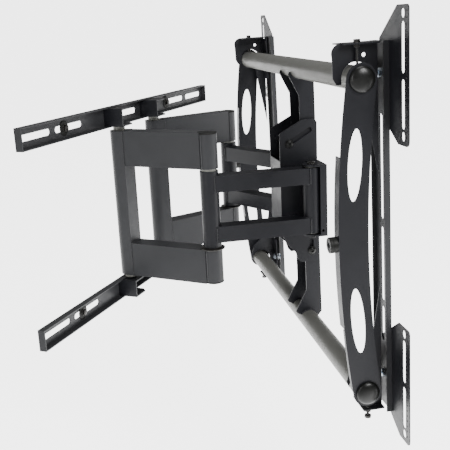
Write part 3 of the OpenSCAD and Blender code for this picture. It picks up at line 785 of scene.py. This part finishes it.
class WALLMOUNT_OT_levelling_screws(bpy.types.Operator):
    """Hex levelling screws that stand on the upper tube, with a nut under each lid"""

    bl_idname = "wallmount.levelling_screws"
    bl_label = "Levelling screws"

    def execute(self, context):
        pitch = context.scene.mount_hardware.thread_pitch
        for side, rail in (("left", LEFT_RAIL), ("right", RIGHT_RAIL)):
            place = rail @ Matrix.Translation((-0.0395, 0.004, 0))
            b = Builder(f"{side}_levelling_set")
            b.hollow([(0.0033, 0.4472), (0.0086, 0.4472), (0.0088, 0.4475), (0.0086, 0.4484),
                      (0.0033, 0.4484)], place)
            b.hexagon(0.0068, 0.4484, 0.4550, place, turn=0.5)
            b.hexagon(0.0065, 0.4376, 0.4438, place, turn=0.1)
            b.threaded(0.0031, 0.4030, 0.4475, pitch * 0.8, place)
            b.turned([(0, 0.3974), (0.0020, 0.3974), (0.0026, 0.3980), (0.0026, 0.4040),
                      (0, 0.4040)], place)
            screw = b.finish(material("black oxide"), f"{side}_levelling_screw",
                             "black_hardware", 25)
            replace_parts(screw, f"{side}_levelling_screw")
        return {"FINISHED"}


def circle_points(radius, z, a0, a1, steps, matrix, centre=(0, 0)):
    """Points along a level arc from angle a0 to a1, in degrees."""
    middle = Vector((*centre, 0))
    return [matrix @ (middle + polar(radius, math.radians(a0 + (a1 - a0) * i / steps), z))
            for i in range(steps + 1)]


def tube_ring(x, radius, height, angles):
    """Points round a cross tube at one place along it, angles in degrees."""
    return [SCREEN @ Vector((x, TUBE_Y + radius * math.cos(math.radians(a)),
                             height + radius * math.sin(math.radians(a)))) for a in angles]


class WALLMOUNT_OT_arm_welds(bpy.types.Operator):
    """Weld beads where bars, posts and knuckles of the arms meet"""

    bl_idname = "wallmount.arm_welds"
    bl_label = "Arm welds"

    def execute(self, context):
        size = context.scene.mount_hardware.weld_size
        for side, matrix in (("left", LEFT_INNER), ("right", RIGHT_INNER)):
            b = Builder(f"{side}_inner_welds")
            for way in (1, -1):
                for z in (0.1160, 0.2170):
                    for x in (-0.026, 0.026):
                        ends = ((x, POST_FRONT, way * 0.1165), (x, POST_FRONT, way * 0.2165))
                        b.bead([matrix @ Vector(end) for end in ends], size * 0.62)
                    ends = ((-0.0255, POST_FRONT, way * z), (0.0255, POST_FRONT, way * z))
                    b.bead([matrix @ Vector(end) for end in ends], size * 0.62)
                # Round the knuckle, on the top and the under side of the bar
                b.bead(circle_points(0.0271, way * 0.1164, 25, 155, 24, matrix, (0, -INNER_LEN)),
                       size * 0.8)
                for x in (-0.0262, 0.0262):
                    b.bead([matrix @ Vector((x, -INNER_LEN + 0.0070, way * z))
                            for z in (0.118, 0.165, 0.210)], size * 0.8)
            b.finish(material("charcoal weld"), f"{side}_inner_arm", "charcoal_coat", 60)
        for side, matrix in (("left", LEFT_OUTER), ("right", RIGHT_OUTER)):
            b = Builder(f"{side}_outer_welds")
            for way in (1, -1):
                for z in (0.0495, 0.0955):
                    b.bead(circle_points(0.0262, way * z, -152, -28, 24, matrix), size)
                b.bead(circle_points(0.0258, way * 0.0495, 28, 152, 24, matrix, (0, -OUTER_LEN)),
                       size)
                for x in (-0.0242, 0.0242):
                    for y in (-0.0105, -OUTER_LEN + 0.0095):
                        b.bead([matrix @ Vector((x, y, way * z)) for z in (0.050, 0.072, 0.095)],
                               size * 0.9)
            b.finish(material("dark weld"), f"{side}_outer_arm", "dark_coat", 60)
        return {"FINISHED"}


class WALLMOUNT_OT_frame_welds(bpy.types.Operator):
    """Weld beads that join the cross tubes to the mast and to the frame plates"""

    bl_idname = "wallmount.frame_welds"
    bl_label = "Frame welds"

    def execute(self, context):
        size = context.scene.mount_hardware.weld_size
        b = Builder("cross_tube_welds")
        for z in TUBE_HEIGHTS.values():
            for x in (-0.5478, 0.6178):
                b.bead(tube_ring(x, 0.0284, z, range(0, 361, 8)), size, closed=True)
            low, high = (200, 320) if z > 0 else (40, 160)
            for x in (-0.0524, 0.0524):
                b.bead(tube_ring(x, 0.0286, z, range(low, high + 1, 6)), size)
        b.finish(material("dark weld"), "screen_frame", "dark_coat", 60)
        return {"FINISHED"}


class WALLMOUNT_OT_stage(bpy.types.Operator):
    """Pale floor, soft studio light and the camera"""

    bl_idname = "wallmount.stage"
    bl_label = "Stage"

    def execute(self, context):
        s = context.scene.mount_stage
        mesh = bpy.data.meshes.new("floor")
        w = 60.0
        z = s.floor_height
        mesh.from_pydata([(-w, -w, z), (w, -w, z), (w, w, z), (-w, w, z)], [], [(0, 1, 2, 3)])
        g = Graph("pale floor")
        g.set(Base_Color=g.blend(lighter(s.floor_colour, 0.985), s.floor_colour, g.noise(0.5, 2.0)),
              Roughness=0.7)
        across = g.node("ShaderNodeSeparateXYZ", inputs={"Vector": g.place()}, output="X")
        # The glow leaves out a strip on the key side, so that the near faces stay dark
        strip = g.span(across, -1.5, -0.7, 1.0, 0.0) * g.span(across, -30.0, -14.0)
        g.set(Emission_Color=g.blend((1, 1, 1), (0.12, 0.12, 0.12), strip))
        g.shader.inputs["Emission Strength"].default_value = s.glow
        mesh.materials.append(g.material)
        floor = bpy.data.objects.new("floor", mesh)
        context.scene.collection.objects.link(floor)

        world = bpy.data.worlds.new("studio")
        world.use_nodes = True
        tree = world.node_tree
        room = tree.nodes["Background"]
        room.inputs["Color"].default_value = (1, 1, 1, 1)
        room.inputs["Strength"].default_value = 0.26 * s.brightness
        # The empty background is as white as the lit floor
        backdrop = tree.nodes.new("ShaderNodeBackground")
        backdrop.inputs["Color"].default_value = (1, 1, 1, 1)
        backdrop.inputs["Strength"].default_value = s.glow * 1.06
        choice = tree.nodes.new("ShaderNodeMixShader")
        ray = tree.nodes.new("ShaderNodeLightPath")
        tree.links.new(ray.outputs["Is Camera Ray"], choice.inputs[0])
        tree.links.new(room.outputs[0], choice.inputs[1])
        tree.links.new(backdrop.outputs[0], choice.inputs[2])
        tree.links.new(choice.outputs[0], tree.nodes["World Output"].inputs["Surface"])
        context.scene.world = world

        def lamp(name, at, target, size, power):
            light = bpy.data.lights.new(name, "AREA")
            light.shape = "RECTANGLE"
            light.size, light.size_y = size
            light.energy = power * s.brightness
            made = bpy.data.objects.new(name, light)
            made.location = at
            made.rotation_mode = "QUATERNION"
            made.rotation_quaternion = (Vector(target) - Vector(at)).to_track_quat("-Z", "Y")
            context.scene.collection.objects.link(made)

        lamp("key", (-1.9, -3.0, 2.6), (0.1, -0.4, 0), (1.4, 1.8), 155)
        lamp("side", (-3.0, 0.6, 0.8), (-0.1, -0.3, 0), (0.6, 2.2), 28)
        lamp("overhead", (0.2, -0.5, 3.2), (0.1, -0.4, 0), (2.4, 1.6), 55)

        yaw, pitch, roll = (math.radians(a) for a in (22.23, 15.01, -2.80))
        forward = Vector((math.cos(pitch) * math.cos(yaw), math.cos(pitch) * math.sin(yaw),
                          -math.sin(pitch)))
        level = Vector((math.sin(yaw), -math.cos(yaw), 0))
        up = level.cross(forward)
        right = math.cos(roll) * level + math.sin(roll) * up
        top = -math.sin(roll) * level + math.cos(roll) * up
        data = bpy.data.cameras.new("camera")
        data.sensor_width = 36
        data.lens = 60.30
        data.clip_start, data.clip_end = 0.1, 200
        camera = bpy.data.objects.new("camera", data)
        camera.matrix_world = Matrix((
            (right.x, top.x, -forward.x, -2.02405),
            (right.y, top.y, -forward.y, -1.12710),
            (right.z, top.z, -forward.z, 0.50273),
            (0, 0, 0, 1)))
        context.scene.collection.objects.link(camera)
        context.scene.camera = camera
        return {"FINISHED"}


OPERATORS = (
    WALLMOUNT_OT_stage, WALLMOUNT_OT_finishes, WALLMOUNT_OT_end_domes, WALLMOUNT_OT_side_knobs,
    WALLMOUNT_OT_lag_screws, WALLMOUNT_OT_elbow_caps, WALLMOUNT_OT_shoulder_bolts,
    WALLMOUNT_OT_head_bolts, WALLMOUNT_OT_tilt_bolts, WALLMOUNT_OT_rail_bolts,
    WALLMOUNT_OT_lock_screws, WALLMOUNT_OT_levelling_screws, WALLMOUNT_OT_arm_welds,
    WALLMOUNT_OT_frame_welds,
)


class WALLMOUNT_PT_panel(bpy.types.Panel):
    """Lists the pieces and their settings"""

    bl_label = "Wall Mount"
    bl_idname = "WALLMOUNT_PT_panel"
    bl_space_type = "VIEW_3D"
    bl_region_type = "UI"
    bl_category = "Wall Mount"

    def draw(self, context):
        layout = self.layout
        for group in ("mount_finishes", "mount_hardware", "mount_stage"):
            settings = getattr(context.scene, group)
            box = layout.box()
            for key in settings.__annotations__:
                box.prop(settings, key)
        for operator in OPERATORS:
            layout.operator(operator.bl_idname)


CLASSES = (
    MountFinishSettings, MountHardwareSettings, MountStageSettings, *OPERATORS,
    WALLMOUNT_PT_panel,
)


def register():
    for cls in CLASSES:
        bpy.utils.register_class(cls)
    bpy.types.Scene.mount_finishes = bpy.props.PointerProperty(type=MountFinishSettings)
    bpy.types.Scene.mount_hardware = bpy.props.PointerProperty(type=MountHardwareSettings)
    bpy.types.Scene.mount_stage = bpy.props.PointerProperty(type=MountStageSettings)


def unregister():
    del bpy.types.Scene.mount_stage
    del bpy.types.Scene.mount_hardware
    del bpy.types.Scene.mount_finishes
    for cls in reversed(CLASSES):
        bpy.utils.unregister_class(cls)


def main():
    register()
    for operator in OPERATORS:
        group, name = operator.bl_idname.split(".")
        getattr(getattr(bpy.ops, group), name)()


if __name__ == "__main__":
    main()
